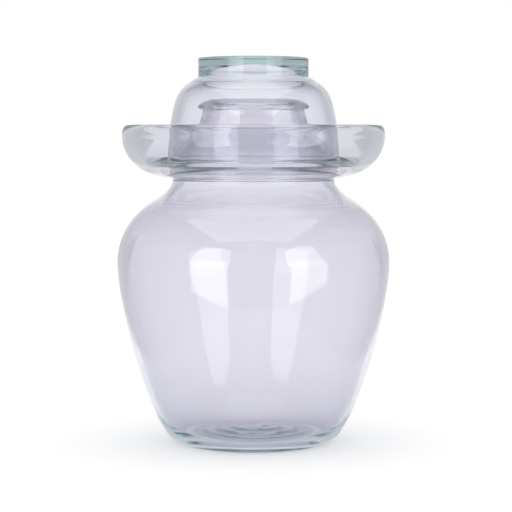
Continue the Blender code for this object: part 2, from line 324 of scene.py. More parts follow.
def moat_outside():
    """From the waist out under the moat and up its side."""
    corner = (WAIST_RADIUS, WAIST_Z)
    size = (MOAT_RADIUS - WAIST_RADIUS, (RIM_Z - WAIST_Z) * WIDEST_SHARE)
    start = (WAIST_RADIUS + UNDER_FILLET, WAIST_Z)
    points = rounded((WAIST_RADIUS, WAIST_Z - UNDER_FILLET), corner, start)
    leave = within(corner, size, BOWL_LEAVE_SHARES)
    arrive = within(corner, size, BOWL_ARRIVE_SHARES)
    return points + bend(start, leave, arrive, within(corner, size, (1, 1)), 2 * CURVE_STEPS)


def moat_rim(widest):
    """From the widest place of the moat over its rim."""
    outer, inner = (MOAT_WALL * share for share in RIM_SHARES)
    outer_top, inner_top = (MOAT_RADIUS - outer, RIM_Z), (MOAT_BORE + inner, RIM_Z)
    points = rounded(widest, (MOAT_RADIUS, RIM_Z), outer_top) + [inner_top]
    return points + rounded(inner_top, (MOAT_BORE, RIM_Z), (MOAT_BORE, RIM_Z - inner))


print("moat outside", len(moat_outside()), "points")

# %% [markdown]
# Inside the moat the wall goes straight down from the rim, and then rounds inwards to
# the channel that holds the seal water. The channel isn't the bowl's outside moved in:
# the glass is thicker at the foot, where the two gathers met. A short slope leads from
# the channel up to the seat.

# %% Channel of the moat
RIM_DEPTH = 0.0053
MOAT_STRAIGHT_Z = RIM_Z - RIM_DEPTH
CHANNEL_FLOOR = 0.0032
CHANNEL_Z = WAIST_Z + CHANNEL_FLOOR
SEAT_EDGE = 0.0532
CHANNEL_SLOPE = 0.0045
CHANNEL_FOOT = SEAT_EDGE + CHANNEL_SLOPE
SIDE_LEAVE_SHARES = (1, 0.502)
KNEE_ARRIVE_SHARES = (0.591, 0.32)
KNEE_SHARES = (0.521, 0.257)
KNEE_LEAVE_SHARES = (0.347, 0.099)
FLOOR_ARRIVE_SHARES = (0.277, 0.044)


def channel_outline():
    """Down the inside of the moat to its floor."""
    corner = (CHANNEL_FOOT, CHANNEL_Z)
    top = (MOAT_BORE, MOAT_STRAIGHT_Z)
    size = (MOAT_BORE - CHANNEL_FOOT, MOAT_STRAIGHT_Z - CHANNEL_Z)
    knee = within(corner, size, KNEE_SHARES)
    leave = within(corner, size, SIDE_LEAVE_SHARES)
    points = [top] + bend(top, leave, within(corner, size, KNEE_ARRIVE_SHARES), knee)
    leave = within(corner, size, KNEE_LEAVE_SHARES)
    return points + bend(knee, leave, within(corner, size, FLOOR_ARRIVE_SHARES), corner)


print("channel", len(channel_outline()), "points")

# %% Seat of the lid
SEAT_FILLET = 0.0004
SEAT_SLOPE_SHARE = 0.6


def seat_outline():
    """From the channel's floor up to the seat, and in to the neck."""
    slope = CHANNEL_SLOPE * SEAT_SLOPE_SHARE
    start, end = (CHANNEL_FOOT, CHANNEL_Z), (SEAT_EDGE, SEAT_Z)
    points = bend(start, (CHANNEL_FOOT - slope, CHANNEL_Z), (SEAT_EDGE + slope, SEAT_Z), end, CORNER_STEPS)
    corner, flat_end = (WAIST_RADIUS, SEAT_Z), (WAIST_RADIUS + SEAT_FILLET, SEAT_Z)
    return points + [flat_end] + rounded(flat_end, corner, (WAIST_RADIUS, SEAT_Z + SEAT_FILLET))


print("seat", len(seat_outline()), "points")

# %% [markdown]
# The inside of the body is the outside moved inwards by the wall, which is a little
# thicker at the heel than at the belly. Blender's Solidify modifier moves a surface in
# the same way, but only by one thickness, and it can't give the floor its own shape.

# %% Wall of the body
BODY_WALL = 0.003
HEEL_WALL = 0.0035


def fade(first, last, count):
    """Evenly spaced values from first to last."""
    return [first + (last - first) * step / (count - 1) for step in range(count)]


def inset(outline, walls):
    """The outline moved to its left by a wall for each point, square to the outline."""
    moved = []
    for index, (radius, height) in enumerate(outline):
        before = outline[max(index - 1, 0)]
        after = outline[min(index + 1, len(outline) - 1)]
        along_r, along_z = after[0] - before[0], after[1] - before[1]
        length = hypot(along_r, along_z)
        wall = walls[index]
        moved.append((radius - along_z / length * wall, height + along_r / length * wall))
    return moved


def wall_inside():
    """The inner face of the wall, from the neck down to the heel."""
    flank = flank_outline()
    rest = shoulder_outline() + neck_outline()
    walls = fade(HEEL_WALL, BODY_WALL, len(flank)) + [BODY_WALL] * len(rest)
    return inset(flank + rest, walls)[::-1]


print("wall inside", len(wall_inside()), "points")

# %% [markdown]
# At the mouth the inner face bulges in behind the bead of the lip, and thins the neck
# below it, because the lip took that glass. The curve joins the wall in the wall's own
# direction: a kink of a few degrees there would draw a line round the whole neck.

# %% Inside of the neck
BEAD_DEPTH = 0.0011
BEAD_Z = LIP_Z - BEAD_DEPTH
BEAD_WALL = 0.0024
BEAD_RADIUS = NECK_RADIUS - BEAD_WALL
BEAD_LENGTH = 0.006
NECK_THIN_DEPTH = 0.0203
NECK_THIN_Z = LIP_Z - NECK_THIN_DEPTH
NECK_REACH = 0.0035
THROAT_LEAVE_SHARES = (1, 0.5)
THROAT_ARRIVE_SHARES = (0, 0.4)


def neck_inside(below, high):
    """From the mouth down behind the lip, to the wall that starts with these two points."""
    mouth, bead = (MOUTH_RADIUS, MOUTH_Z - MOUTH_ROUND), (BEAD_RADIUS, BEAD_Z)
    size = (MOUTH_RADIUS - BEAD_RADIUS, mouth[1] - BEAD_Z)
    leave = within(bead, size, THROAT_LEAVE_SHARES)
    points = bend(mouth, leave, within(bead, size, THROAT_ARRIVE_SHARES), bead)
    arrive = onward(below, high, NECK_REACH)
    return points + bend(bead, (BEAD_RADIUS, BEAD_Z - BEAD_LENGTH), arrive, high)


print("bead", round(BEAD_RADIUS, 4), "at", round(BEAD_Z, 4))

# %% [markdown]
# The floor swells in the middle over the pushed-up base, and rounds up into the wall.
# Between that round and the heel lies a wedge of thick glass, which leads light round
# the foot of the jar. The round could start higher up the wall, but then the wedge is
# taller too, and shows as a pale ring round the foot with dark lines in it.

# %% Floor inside
BASE_THICKNESS = 0.005
FLOOR_RADIUS_INSIDE = 0.043
FLOOR_BULGE = 0.0045
FLOOR_TOP_Z = BASE_THICKNESS + FLOOR_BULGE
FLOOR_EDGE_Z = 0.0355
FLOOR_STEPS = 3 * CURVE_STEPS
WEDGE_LEAVE_SHARE = 0.414
WEDGE_ARRIVE_SHARE = 0.484


def floor_inside(before, edge):
    """From the wall, which ends with these two points, over the floor to the axis."""
    ring = (FLOOR_RADIUS_INSIDE, BASE_THICKNESS)
    leave = onward(before, edge, (edge[1] - BASE_THICKNESS) * WEDGE_LEAVE_SHARE)
    arrive = (ring[0] + (edge[0] - ring[0]) * WEDGE_ARRIVE_SHARE, BASE_THICKNESS)
    points = bend(edge, leave, arrive, ring)
    middle = FLOOR_RADIUS_INSIDE / 2
    leave, arrive = (middle, BASE_THICKNESS), (middle, FLOOR_TOP_Z)
    return points + bend(ring, leave, arrive, (0, FLOOR_TOP_Z), FLOOR_STEPS)


print("floor", round(BASE_THICKNESS, 4), "to", round(FLOOR_TOP_Z, 4))

# %% [markdown]
# Now the stretches are chained: all of the outside from the axis to the mouth, and all
# of the inside back to the axis. They could go into one list at once, but they stay
# apart for a while, because only the inside gets the marks of the hand further down.

# %% Section of the jar
def jar_section():
    """The outside of the jar from the underside to the mouth, and the inside from there down."""
    shoulder = [point for point in shoulder_outline() if point[1] < WAIST_Z - UNDER_FILLET]
    neck = [point for point in neck_outline() if point[1] > SEAT_Z + SEAT_FILLET]
    bowl = moat_outside()
    outside = base_outline() + flank_outline() + shoulder + bowl + moat_rim(bowl[-1])
    outside += channel_outline() + seat_outline() + neck + lip_outline()
    wall = [point for point in wall_inside() if NECK_THIN_Z >= point[1] > FLOOR_EDGE_Z]
    inside = neck_inside(wall[1], wall[0]) + wall[1:] + floor_inside(*wall[-2:])
    return held(outside), held(inside)


jar_outside, jar_inside = jar_section()
print("jar", len(jar_outside), "points outside and", len(jar_inside), "inside")

# %% [markdown]
# The lid is an upturned bowl. Its side leans in a little and then turns over in a dome.
# Half a squashed sphere would come close, but its shoulder would be too soft, so the
# side is a straight line and the dome one curve that ends at the foot of the knob.

# %% Outside of the lid
LID_WALL = 0.0028
LID_RIM = 0.0022
LID_LEAN = 0.0018
LID_SIDE_SHARE = 0.45
LID_SIDE_Z = LID_Z + (KNOB_Z - LID_Z) * LID_SIDE_SHARE
DOME_LEAVE_SHARES = (0.835, 0.541)
DOME_ARRIVE_SHARES = (0.78, 0.767)


def dome_outline():
    """The outside of the lid, from the top of its rim to the knob."""
    corner = (KNOB_RADIUS, LID_SIDE_Z)
    size = (LID_RADIUS - LID_LEAN - KNOB_RADIUS, KNOB_Z - LID_SIDE_Z)
    side = within(corner, size, (1, 0))
    leave = within(corner, size, DOME_LEAVE_SHARES)
    arrive = within(corner, size, DOME_ARRIVE_SHARES)
    points = [(LID_RADIUS, LID_Z + LID_RIM), side]
    return points + bend(side, leave, arrive, (KNOB_RADIUS, KNOB_Z), 2 * CURVE_STEPS)


print("dome", len(dome_outline()), "points")

# %% [markdown]
# Under the knob the lid's hollow goes on, up into the disc, as a flat crown with a round
# shoulder. Light that meets that shoulder from the side is thrown back up to the dark
# overhead, and that makes the two dark arcs inside the knob. A plain dome there would
# look empty.

# %% Ceiling of the lid
CEILING_RISE = 0.0071
CEILING_Z = KNOB_Z + CEILING_RISE
CEILING_EDGE_SHARE = 0.79
CEILING_DROP = 0.0004
CEILING_REACH = 0.01
CEILING_TURN = (0.0022, -0.0002)
HOLLOW_FOOT_INSET = 0.0029
HOLLOW_FOOT_DROP = 0.0005
HOLLOW_ARRIVE = (-0.001, 0.003)
HOLLOW_LEAVE = (0.0016, -0.0014)
HOLLOW_REACH = 0.002


def ceiling_outline(wall):
    """The lid's ceiling from the axis out: a crown under the knob, and then the dome."""
    start, edge = (0, CEILING_Z), (KNOB_RADIUS * CEILING_EDGE_SHARE, CEILING_Z - CEILING_DROP)
    foot = (KNOB_RADIUS - HOLLOW_FOOT_INSET, KNOB_Z - HOLLOW_FOOT_DROP)
    arrive = (edge[0] - CEILING_REACH, CEILING_Z)
    points = [start] + bend(start, (CEILING_REACH, CEILING_Z), arrive, edge)
    points += bend(edge, within(edge, CEILING_TURN, (1, 1)), within(foot, HOLLOW_ARRIVE, (1, 1)), foot)
    arrive = onward(wall[-2], wall[-1], HOLLOW_REACH)
    return points + bend(foot, within(foot, HOLLOW_LEAVE, (1, 1)), arrive, wall[-1])


print("hollow", round(CEILING_RISE, 4), "into the knob")

# %% [markdown]
# The knob is a thick disc of solid glass. Light that crosses it runs through some seven
# centimetres of glass, which is why only the knob looks green. A cylinder with a Bevel
# modifier would give the same disc, but it is fused to the dome, so it is drawn in one
# line with it and leaves no surface inside.

# %% Knob
KNOB_CORNER = 0.0007
KNOB_FILLET = 0.0003
KNOB_FOOT_SHARE = 0.4


def knob_outline(dome):
    """From just before the dome's end up the knob's side to its top."""
    start = part_way(dome[-1], dome[-2], KNOB_FOOT_SHARE)
    low, high = (KNOB_RADIUS, KNOB_Z + KNOB_FILLET), (KNOB_RADIUS, KNOB_TOP_Z - KNOB_CORNER)
    points = [start] + rounded(start, dome[-1], low) + [high]
    edge = (KNOB_RADIUS - KNOB_CORNER, KNOB_TOP_Z)
    return points + rounded(high, (KNOB_RADIUS, KNOB_TOP_Z), edge) + [(0, KNOB_TOP_Z)]


print("knob", len(knob_outline(dome_outline())), "points")

# %% [markdown]
# The lid's section is chained like the jar's, but the other way round: down its inside
# from the ceiling, round its rim, and up its outside to the top of the knob. In this
# order the faces of both pieces point outwards, with the glass on their inner side.

# %% Section of the lid
CROWN_WALL = 0.0032
CROWN_RADIUS = 0.0383
LID_BORE = LID_RADIUS - LID_WALL
LID_RIM_INNER = 0.0005


def lid_rim(start):
    """Round the foot of the lid's side, from its inside to its outside."""
    inner, outer = (LID_BORE + LID_RIM_INNER, LID_Z), (LID_RADIUS - LID_RIM, LID_Z)
    points = rounded(start, (LID_BORE, LID_Z), inner) + [outer]
    return points + rounded(outer, (LID_RADIUS, LID_Z), (LID_RADIUS, LID_Z + LID_RIM))[:-1]


def lid_section():
    """The inside of the lid from its ceiling down, and the outside from its rim up."""
    dome = dome_outline()
    walls = fade(LID_WALL, CROWN_WALL, len(dome))
    wall = [point for point in inset(dome, walls)[1:] if point[0] > CROWN_RADIUS]
    inside = ceiling_outline(wall) + wall[-2::-1] + [(LID_BORE, LID_Z + LID_RIM_INNER)]
    return held(inside), held(lid_rim(inside[-1]) + dome[:-1] + knob_outline(dome))


lid_inside, lid_outside = lid_section()
print("lid", len(lid_inside), "points inside and", len(lid_outside), "outside")

# %% [markdown]
# Turning a section is simple enough to write out: one ring of points for each point of
# the outline, and faces between neighbouring rings. Blender's Screw modifier would do
# the same, but here each point can first be pushed a little, which the next step needs.

# %% Turn a section into a mesh
SEGMENTS = 224


def ring_faces(rings):
    """The faces of a solid with so many rings, closed by a fan at each of its two poles."""
    last = 1 + rings * SEGMENTS
    faces = []
    for step in range(SEGMENTS):
        after = (step + 1) % SEGMENTS
        faces.append((0, 1 + after, 1 + step))
        faces.append((last, last - SEGMENTS + step, last - SEGMENTS + after))
        for ring in range(rings - 1):
            low = 1 + ring * SEGMENTS
            high = low + SEGMENTS
            faces.append((low + step, low + after, high + after, high + step))
    return faces


def turned(name, outline, shift):
    """A closed solid turned about Z. The outline starts and ends on the axis."""
    points = [(0, 0, outline[0][1])]
    for index, (radius, height) in enumerate(outline[1:-1], 1):
        for step in range(SEGMENTS):
            turn = tau * step / SEGMENTS
            out, up = shift(index, radius, turn, height)
            points.append(((radius + out) * cos(turn), (radius + out) * sin(turn), height + up))
    points.append((0, 0, outline[-1][1]))
    mesh = bpy.data.meshes.new(name)
    mesh.from_pydata(points, [], ring_faces(len(outline) - 2))
    mesh.shade_smooth()
    piece = bpy.data.objects.new(name, mesh)
    bpy.context.scene.collection.objects.link(piece)
    return piece


print("rings of", SEGMENTS, "points")

# %% [markdown]
# The outside of a jar takes its shape from the mould, but the inside is free: it wanders
# by a tenth of a millimetre or so, and the floor keeps a swirl from the twist of the
# gather. A bump map could fake both, but these are real shapes that bend the light, so
# they are put into the mesh.

# %% Marks of the hand
WANDER = 0.00012
WANDER_SCALE = 28
SWIRL_DEPTH = 0.0004
SWIRL_PITCH = 0.009
SWIRL_RADIUS = 0.03
SWIRL_FALL = 4
SWIRL_TOP_Z = BASE_THICKNESS + 2 * FLOOR_BULGE
STILL_RINGS = 2


def free_inside(radius, turn, height):
    """How far the free inner surface wanders, out and up."""
    place = Vector((radius * cos(turn), radius * sin(turn), height)) * WANDER_SCALE
    out = WANDER * noise.noise(place)
    fall = exp(-(radius / SWIRL_RADIUS) ** SWIRL_FALL)
    swirl = SWIRL_DEPTH * sin(turn - tau * radius / SWIRL_PITCH) * fall
    up = swirl * min(1, radius / SWIRL_PITCH) if height < SWIRL_TOP_Z else 0
    return out, up


def jar_shift(index, radius, turn, height):
    """Only the inside of the jar wanders."""
    return free_inside(radius, turn, height) if index >= len(jar_outside) else (0, 0)


def lid_shift(index, radius, turn, height):
    """The lid's inside wanders by half as much, its first rings at the axis and its outside not at all."""
    if index >= len(lid_inside) or index < STILL_RINGS:
        return 0, 0
    out, _ = free_inside(radius, turn, height)
    return out / 2, 0


print("swirl", SWIRL_DEPTH, "deep")

# %% Turn the jar and the lid
jar_glass = turned("jar_glass", jar_outside + jar_inside, jar_shift)
lid_glass = turned("lid_glass", lid_inside + lid_outside, lid_shift)
print("faces", len(jar_glass.data.polygons), len(lid_glass.data.polygons))

# %% [markdown]
# Clear glass gets its cast in two ways. A little is lost at each crossing of a surface,
# and that loss is the Base Color of a glass shader. Here it is darker towards the heel
# and lighter up the neck: a ramp over the height gives it, with stops at real heights.
# An image painted round the jar could hold the same, but a ramp follows the sizes.

# %% Cast of the glass by height
HALFWAY_SHARE = 0.5


def height_ramp(tree, tints):
    """A colour that changes with the height above the table."""
    place = tree.nodes.new("ShaderNodeTexCoord")
    split = tree.nodes.new("ShaderNodeSeparateXYZ")
    tree.links.new(place.outputs["Object"], split.inputs[0])
    share = tree.nodes.new("ShaderNodeMath")
    share.operation = "DIVIDE"
    share.inputs[1].default_value = KNOB_TOP_Z
    tree.links.new(split.outputs["Z"], share.inputs[0])
    ramp = tree.nodes.new("ShaderNodeValToRGB")
    tree.links.new(share.outputs[0], ramp.inputs["Fac"])
    stops = ramp.color_ramp.elements
    between = [stops.new(HALFWAY_SHARE) for _ in tints[1:-1]]
    for stop, (height, color) in zip([stops[0]] + between + [stops[-1]], tints):
        stop.position, stop.color = height / KNOB_TOP_Z, (*color, 1)
    return ramp.outputs["Color"]


print("ramp over", round(KNOB_TOP_Z, 4))

# %% [markdown]
# Where a wall is seen edge on, the light crosses more of it, so the rims of the jar look
# denser than its middle. A Layer Weight node knows how far a surface turns away from the
# view. Its square keeps most of the effect near the rims. A thicker wall would darken
# them too, but it would also change how the whole jar bends the light.

# %% Denser rims
EDGE_POWER = 2


def edged(tree, color, edge):
    """The colour, multiplied by an edge colour where the surface turns away."""
    slant = tree.nodes.new("ShaderNodeLayerWeight")
    steep = tree.nodes.new("ShaderNodeMath")
    steep.operation = "POWER"
    steep.inputs[1].default_value = EDGE_POWER
    tree.links.new(slant.outputs["Facing"], steep.inputs[0])
    tint = tree.nodes.new("ShaderNodeMix")
    tint.data_type = "RGBA"
    tint.blend_type = "MULTIPLY"
    tint.inputs["B"].default_value = (*edge, 1)
    tree.links.new(steep.outputs[0], tint.inputs["Factor"])
    tree.links.new(color, tint.inputs["A"])
    return tint.outputs["Result"]


print("edge power", EDGE_POWER)

# %% [markdown]
# The skin of blown glass is fire polished and nearly perfect, but not quite: it has a
# faint swell every two centimetres or so, and hands leave it a touch duller in places.
# One soft noise at that scale drives both, a Bump node for the swell and the Roughness.
# The swell could be in the mesh, but it is far too shallow to move the outline.

# %% Skin of the glass
SKIN_SCALE = 45
SKIN_DETAIL = 2
SWELL_STRENGTH = 0.3
SWELL_HEIGHT = 0.0001
TOUCH_FROM = 0.5
TOUCH_TO = 0.8
TOUCH_ROUGHNESS = 0.04


def skin(tree, shader):
    """A faint swell and a few duller places over the whole surface."""
    patches = tree.nodes.new("ShaderNodeTexNoise")
    patches.inputs["Scale"].default_value = SKIN_SCALE
    patches.inputs["Detail"].default_value = SKIN_DETAIL
    place = tree.nodes.new("ShaderNodeTexCoord")
    tree.links.new(place.outputs["Object"], patches.inputs["Vector"])
    swell = tree.nodes.new("ShaderNodeBump")
    swell.inputs["Strength"].default_value = SWELL_STRENGTH
    swell.inputs["Distance"].default_value = SWELL_HEIGHT
    tree.links.new(patches.outputs["Fac"], swell.inputs["Height"])
    tree.links.new(swell.outputs["Normal"], shader.inputs["Normal"])
    touch = tree.nodes.new("ShaderNodeMapRange")
    touch.inputs["From Min"].default_value = TOUCH_FROM
    touch.inputs["From Max"].default_value = TOUCH_TO
    touch.inputs["To Max"].default_value = TOUCH_ROUGHNESS
    tree.links.new(patches.outputs["Fac"], touch.inputs["Value"])
    tree.links.new(touch.outputs["Result"], shader.inputs["Roughness"])


print("swell", SWELL_HEIGHT, "high")

# %% [markdown]
# The other part of the cast is inside: the deeper light goes, the more red it loses, and
# green is left. A Volume Absorption node does just that, and it is the reason why the
# thin walls stay clear while the knob and the heel turn green. Real glass throws bright
# patterns beside its shadow, which take a renderer very long. So a lamp's light passes
# straight through instead, a little dimmed, and the jar throws a pale, soft shadow.

# %% Depth of the glass and its shadow
DEPTH_TINT = (0.0, 0.383, 0.383)
SHADOW_TINT = (0.9, 0.9, 0.91)


def depth(tree, density):
    """The glass takes light with its depth, mostly red."""
    output = tree.nodes["Material Output"]
    absorb = tree.nodes.new("ShaderNodeVolumeAbsorption")
    absorb.inputs["Color"].default_value = (*DEPTH_TINT, 1)
    absorb.inputs["Density"].default_value = density
    tree.links.new(absorb.outputs["Volume"], output.inputs["Volume"])


def pale_shadow(tree, shader):
    """The shader for what shows, and clear passage for the light of a lamp."""
    clear = tree.nodes.new("ShaderNodeBsdfTransparent")
    clear.inputs["Color"].default_value = (*SHADOW_TINT, 1)
    path = tree.nodes.new("ShaderNodeLightPath")
    pick = tree.nodes.new("ShaderNodeMixShader")
    tree.links.new(path.outputs["Is Shadow Ray"], pick.inputs["Fac"])
    tree.links.new(shader.outputs["BSDF"], pick.inputs[1])
    tree.links.new(clear.outputs["BSDF"], pick.inputs[2])
    tree.links.new(pick.outputs["Shader"], tree.nodes["Material Output"].inputs["Surface"])


print("depth tint", DEPTH_TINT)

# %% Glass
GLASS_IOR = 1.5


def glass(name, density, tints, edge):
    """Clear glass with a faint cast that changes up the piece and deepens at its rims."""
    material = bpy.data.materials.new(name)
    material.use_nodes = True
    tree = material.node_tree
    shader = tree.nodes["Principled BSDF"]
    shader.inputs["IOR"].default_value = GLASS_IOR
    shader.inputs["Transmission Weight"].default_value = 1
    color = edged(tree, height_ramp(tree, tints), edge)
    tree.links.new(color, shader.inputs["Base Color"])
    skin(tree, shader)
    depth(tree, density)
    pale_shadow(tree, shader)
    return material


print("bends light by", GLASS_IOR)

# %% [markdown]
# The jar and the lid come from the same pot of glass, so they share the shader. Only
# the casts differ: the jar's is darkest at the heel, and the lid, which curves more
# tightly, has darker rims. A copied material would need each later change twice.

# %% Glass of the jar and of the lid
JAR_TINTS = [
    (0.01, (0.82, 0.80, 0.86)),
    (0.06, (0.89, 0.87, 0.92)),
    (0.13, (0.90, 0.875, 0.925)),
    (0.16, (0.93, 0.91, 0.945)),
]
LID_TINTS = [(0.17, (0.94, 0.925, 0.965)), (0.23, (0.94, 0.93, 0.965))]
JAR_EDGE = (0.8, 0.76, 0.88)
LID_EDGE = (0.62, 0.62, 0.74)
JAR_DENSITY = 12
LID_DENSITY = 11.5

jar_glass.data.materials.append(glass("blown_glass", JAR_DENSITY, JAR_TINTS, JAR_EDGE))
lid_glass.data.materials.append(glass("lid_glass", LID_DENSITY, LID_TINTS, LID_EDGE))
print("materials", jar_glass.data.materials[0].name, lid_glass.data.materials[0].name)

# %% [markdown]
# Each piece now rides on the body that carries it, and stands for the solids that it
# covers. The jar stays where it is, and the lid is lifted by its joint. Parenting the
# lid to an empty would move it as well, but here the frame knows the joint already.

# %% Hang the pieces on the frame
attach(jar_glass, "jar")
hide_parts("jar_body", "moat_bowl")
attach(lid_glass, "lid")
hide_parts("lid_dome", "lid_knob")
print("pieces", jar_glass.name, lid_glass.name)

# %% [markdown]
# Glass shows the room more than itself, so the room matters. A studio photographer puts
# a white sheet behind and under the jar and keeps the sides of the room darker, because
# the dark sides draw the outline of the glass. Only what shows in the glass and behind
# it gets these colours: a Light Path node tells such rays from those that carry light,
# and the light itself stays plain and even.

# %% What shows, apart from what lights
def shown_rays(tree):
    """A factor that is one for rays from the camera, in mirrors and through glass."""
    path = tree.nodes.new("ShaderNodeLightPath")
    seen = path.outputs["Is Camera Ray"]
    for name in ("Is Glossy Ray", "Is Transmission Ray"):
        either = tree.nodes.new("ShaderNodeMath")
        either.operation = "MAXIMUM"
        tree.links.new(seen, either.inputs[0])
        tree.links.new(path.outputs[name], either.inputs[1])
        seen = either.outputs[0]
    return seen


print("rays that show: camera, glossy, transmission")

# %% [markdown]
# The white sheet is a little wider than the picture where the jar stands, and it widens
# towards the back. Past its edges everything is pale grey. The same rule serves the
# table and the surround, so that the sheet has one edge all the way up: it takes the
# distance from the middle, less a share of the distance behind the jar.

# %% Edge of the white sheet
SHEET_SHARE = 0.15
SIDE_LEVEL = 0.7


def beside(tree, coordinate, first, last, near=1, far=SIDE_LEVEL):
    """A value for places inside the white sheet that changes to another one past its edge."""
    split = tree.nodes.new("ShaderNodeSeparateXYZ")
    tree.links.new(coordinate, split.inputs[0])
    aside = tree.nodes.new("ShaderNodeMath")
    aside.operation = "ABSOLUTE"
    tree.links.new(split.outputs["X"], aside.inputs[0])
    past = tree.nodes.new("ShaderNodeMath")
    past.operation = "MULTIPLY_ADD"
    past.inputs[1].default_value = -SHEET_SHARE
    tree.links.new(split.outputs["Y"], past.inputs[0])
    tree.links.new(aside.outputs[0], past.inputs[2])
    fall = tree.nodes.new("ShaderNodeMapRange")
    fall.inputs["From Min"].default_value = first
    fall.inputs["From Max"].default_value = last
    fall.inputs["To Min"].default_value = near
    fall.inputs["To Max"].default_value = far
    tree.links.new(past.outputs[0], fall.inputs["Value"])
    return fall.outputs["Result"]


print("sides at", SIDE_LEVEL)

# %% [markdown]
# The table is a matt white board. A Diffuse shader lit by the lamps alone would come out
# grey in the picture, and more light would wash out the jar. So the board glows a little
# where it shows, and keeps the jar's shadow, because most of its white is still lit.

# %% White of the table
TABLE_WHITE = 0.85
TABLE_GLOW = 0.2
TABLE_EDGE = 0.162
TABLE_EDGE_END = 0.19


def times(tree, value, factor):
    """A value in the node tree times a plain number."""
    product = tree.nodes.new("ShaderNodeMath")
    product.operation = "MULTIPLY"
    product.inputs[1].default_value = factor
    tree.links.new(value, product.inputs[0])
    return product.outputs[0]


def white_board():
    """A matt white that glows a little for what shows, and is grey past the sheet's edge."""
    material = bpy.data.materials.new("white_floor")
    material.use_nodes = True
    tree = material.node_tree
    shader = tree.nodes["Principled BSDF"]
    shader.inputs["Roughness"].default_value = 1
    shader.inputs["Specular IOR Level"].default_value = 0
    place = tree.nodes.new("ShaderNodeTexCoord")
    level = beside(tree, place.outputs["Object"], TABLE_EDGE, TABLE_EDGE_END)
    tree.links.new(times(tree, level, TABLE_WHITE), shader.inputs["Base Color"])
    tree.links.new(level, shader.inputs["Emission Color"])
    tree.links.new(times(tree, shown_rays(tree), TABLE_GLOW), shader.inputs["Emission Strength"])
    return material


print("table white", TABLE_WHITE, "and glow", TABLE_GLOW)

# %% [markdown]
# The table ends a little in front of the jar, outside the picture. An endless floor is
# the usual way, but then the thick glass of the heel and the moat, which throws light
# down and forwards, would show nothing but white. Behind, the board runs so far out that
# its end falls on the horizon.

# %% Table
TABLE_RADIUS = 30.0
TABLE_SIDES = 96
TABLE_FRONT = 0.27


def table_top():
    """Half a disc that runs out far behind the jar and ends a little in front of it."""
    ring = [pi * step / TABLE_SIDES for step in range(TABLE_SIDES + 1)]
    points = [(TABLE_RADIUS * cos(turn), TABLE_RADIUS * sin(turn) - TABLE_FRONT, 0) for turn in ring]
    mesh = bpy.data.meshes.new("floor")
    mesh.from_pydata(points, [], [tuple(range(TABLE_SIDES + 1))])
    mesh.materials.append(white_board())
    table = bpy.data.objects.new("floor", mesh)
    bpy.context.scene.collection.objects.link(table)
    return table


floor = table_top()
print("table ends", TABLE_FRONT, "in front of the axis")

# %% [markdown]
# The surround is the rest of the room, painted on the world. Level with the jar it is
# white, like the sheet, and high overhead it is nearly black, as a ceiling without lamps
# is in a photo. The dark ceiling draws the lines in the moat, the lip and the knob. The
# sheet reaches higher in the middle than at the sides, so the height that the ramp reads
# is made smaller there.

# %% Surround
PLAIN_LEVEL = 0.95
OVERHEAD = (0.02, 0.02, 0.02)
WHITE = (1, 1, 1)
WHITE_UP_TO = 0.3
DARK_FROM = 0.75
MIDDLE_SHARE = 0.4
MIDDLE_EDGE = 0.02
MIDDLE_EDGE_END = 0.3
WALL_EDGE = 0
WALL_EDGE_END = 0.15


def wall_color(tree, place):
    """White up to some height, higher in the middle, and dark overhead."""
    split = tree.nodes.new("ShaderNodeSeparateXYZ")
    tree.links.new(place, split.inputs[0])
    rise = tree.nodes.new("ShaderNodeMath")
    rise.operation = "MULTIPLY"
    tree.links.new(split.outputs["Z"], rise.inputs[0])
    tree.links.new(beside(tree, place, MIDDLE_EDGE, MIDDLE_EDGE_END, MIDDLE_SHARE, 1), rise.inputs[1])
    ramp = tree.nodes.new("ShaderNodeValToRGB")
    tree.links.new(rise.outputs[0], ramp.inputs["Fac"])
    stops = ramp.color_ramp.elements
    stops[0].position, stops[0].color = WHITE_UP_TO, (*WHITE, 1)
    stops[1].position, stops[1].color = DARK_FROM, (*OVERHEAD, 1)
    return ramp.outputs["Color"]


def surround():
    """The painted room for what shows, and one plain level for what lights."""
    world = bpy.data.worlds.new("surround")
    world.use_nodes = True
    tree = world.node_tree
    place = tree.nodes.new("ShaderNodeTexCoord").outputs["Generated"]
    shown = tree.nodes.new("ShaderNodeBackground")
    tree.links.new(wall_color(tree, place), shown.inputs["Color"])
    tree.links.new(beside(tree, place, WALL_EDGE, WALL_EDGE_END), shown.inputs["Strength"])
    light = tree.nodes["Background"]
    light.inputs["Color"].default_value = (*WHITE, 1)
    light.inputs["Strength"].default_value = PLAIN_LEVEL
    pick = tree.nodes.new("ShaderNodeMixShader")
    tree.links.new(shown_rays(tree), pick.inputs["Fac"])
    tree.links.new(light.outputs[0], pick.inputs[1])
    tree.links.new(shown.outputs[0], pick.inputs[2])
    tree.links.new(pick.outputs[0], tree.nodes["World Output"].inputs["Surface"])
    return world


bpy.context.scene.world = surround()
print("surround", PLAIN_LEVEL, "for light, overhead", OVERHEAD[0])

# %% [markdown]
# Two upright softboxes stand in front of the jar, one on each side, and reach from below
# the edge of the table to above the jar. Their reflections are the long pale bars on the
# belly, the moat and the knob. An area lamp has one even brightness, but a real softbox
# is brightest in the middle, so each is built from three glowing faces, one above the
# other. The camera doesn't see them, but the glass mirrors them.

# %% A glowing face
BLACK = (0, 0, 0)


